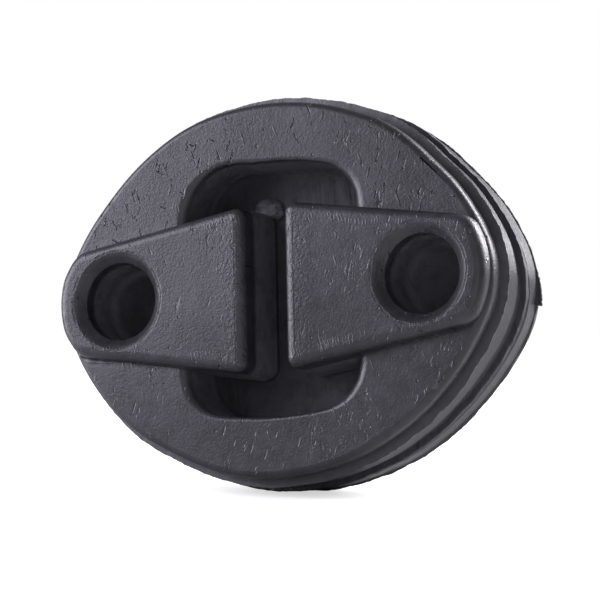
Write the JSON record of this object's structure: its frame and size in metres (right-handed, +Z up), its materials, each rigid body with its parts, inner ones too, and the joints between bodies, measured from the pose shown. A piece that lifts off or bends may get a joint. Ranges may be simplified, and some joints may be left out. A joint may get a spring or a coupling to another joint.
{
  "type": "exhaust hanger rubber",
  "caption": "Oval moulded rubber hanger block with two chamfered bores in proud wedge pads, a slot between them and voids above and below, all closed halfway by a thin moulded skin.",
  "frame": {"origin": "middle of the block, halfway between the two bores and halfway between the pad faces", "axes": "+X along the line from bore to bore, +Y along the bores from the front face to the back face, +Z up, across the voids"},
  "size_m": [0.0659, 0.0192, 0.0518],
  "materials": {
    "rubber": "satin moulded black rubber"
  },
  "bodies": {
    "root": {"hanger_body": "rubber"}
  },
  "joints": []
}
